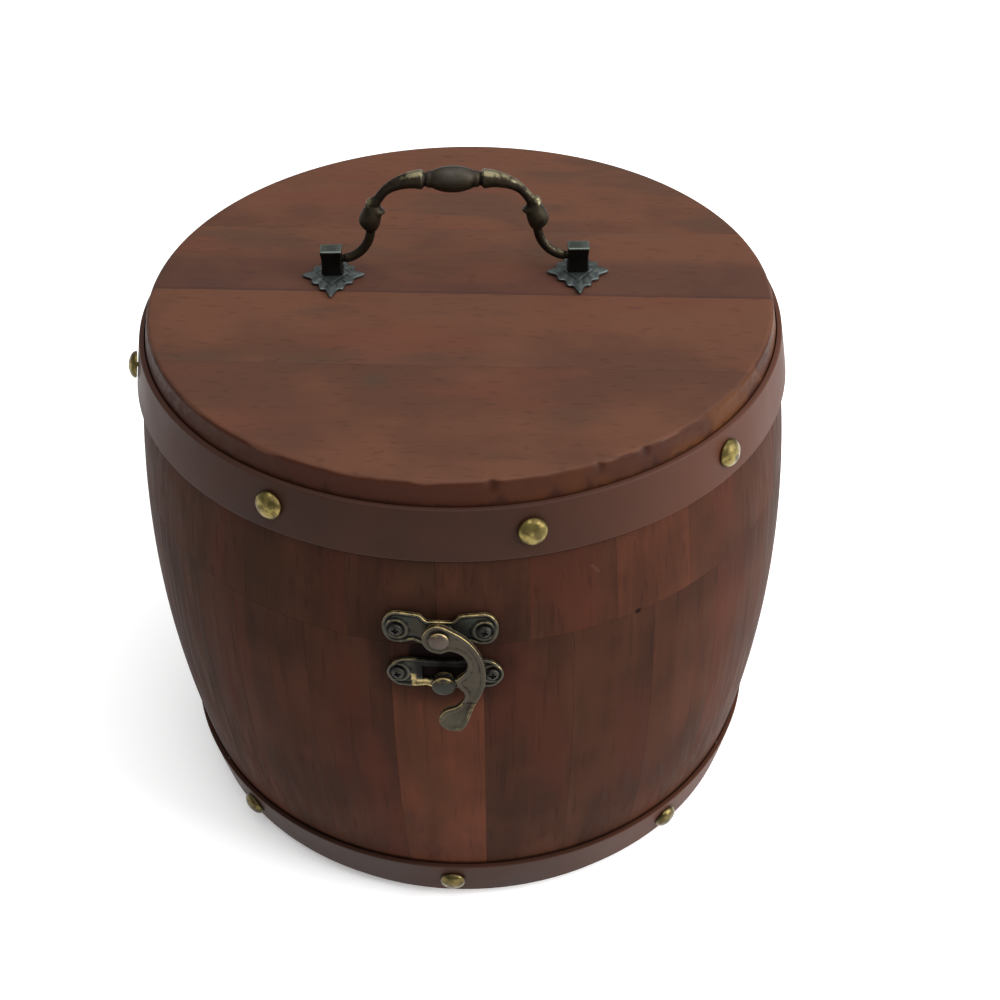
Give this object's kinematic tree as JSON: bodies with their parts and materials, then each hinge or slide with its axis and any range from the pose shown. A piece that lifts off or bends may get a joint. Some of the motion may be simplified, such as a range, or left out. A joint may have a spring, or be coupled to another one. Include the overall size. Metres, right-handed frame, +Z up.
{
  "type": "wooden tea canister",
  "caption": "Small bellied stave-built wooden canister with a hinged lid, tacked leather bands, a bronze swing hook latch and a bronze drop handle.",
  "frame": {"origin": "middle of the canister's flat underside", "axes": "+Z up along the barrel's axis, -Y towards the latch, +X to the right as seen facing the latch"},
  "size_m": [0.1768, 0.1849, 0.1793],
  "materials": {
    "side_wood": "worn dark reddish brown lacquer on upright staves",
    "lid_wood": "worn brown lacquer, greyer than the sides",
    "inner_wood": "plain wood",
    "leather": "matte purplish brown, worn",
    "brass": "bright, lightly dimpled",
    "bronze": "dark antique bronze with golden worn edges",
    "steel": "plain"
  },
  "bodies": {
    "base": {"base_board": "inner_wood", "body_staves": "side_wood", "foot_band": "leather", "foot_tack_1": "brass", "foot_tack_2": "brass", "foot_tack_3": "brass", "foot_tack_4": "brass", "foot_tack_5": "brass", "foot_tack_6": "brass", "foot_tack_7": "brass", "foot_tack_8": "brass", "catch_plate": "bronze", "catch_screw_left": "bronze", "catch_screw_right": "bronze", "body_hinge_leaf": "bronze", "body_hinge_leaf_screw_left": "bronze", "body_hinge_leaf_screw_right": "bronze", "hinge_pin": "steel"},
    "lid": {"lid_staves": "side_wood", "lid_board_1": "lid_wood", "lid_board_2": "lid_wood", "lid_board_3": "lid_wood", "lid_board_4": "lid_wood", "lid_band": "leather", "lid_tack_1": "brass", "lid_tack_2": "brass", "lid_tack_3": "brass", "lid_tack_4": "brass", "lid_tack_5": "brass", "lid_tack_6": "brass", "lid_tack_7": "brass", "lid_tack_8": "brass", "hook_plate": "bronze", "hook_rivet": "bronze", "hook_screw_left": "bronze", "hook_screw_right": "bronze", "lid_hinge_leaf": "bronze", "lid_hinge_leaf_screw_left": "bronze", "lid_hinge_leaf_screw_right": "bronze", "handle_rosette_left": "bronze", "handle_rosette_right": "bronze", "handle_post_left": "bronze", "handle_post_right": "bronze", "handle_bolt_left": "steel", "handle_bolt_right": "steel"},
    "swing_hook": {"latch_hook": "bronze"},
    "handle": {"handle_bail": "bronze"}
  },
  "joints": [
    {"name": "lid_hinge", "type": "hinge", "parent": "base", "child": "lid", "pos_m": [0, 0.08776, 0.10466], "axis": [-1, 0, 0], "range_deg": [0, 170]},
    {"name": "hook_swing", "type": "hinge", "parent": "lid", "child": "swing_hook", "pos_m": [0, -0.08663, 0.10958], "axis": [0, -0.9959, 0.0905], "range_deg": [0, 180]},
    {"name": "handle_swing", "type": "hinge", "parent": "lid", "child": "handle", "pos_m": [-0.0017, 0.006, 0.1536], "axis": [0.9981, 0.061, 0], "range_deg": [-95, 95]}
  ]
}
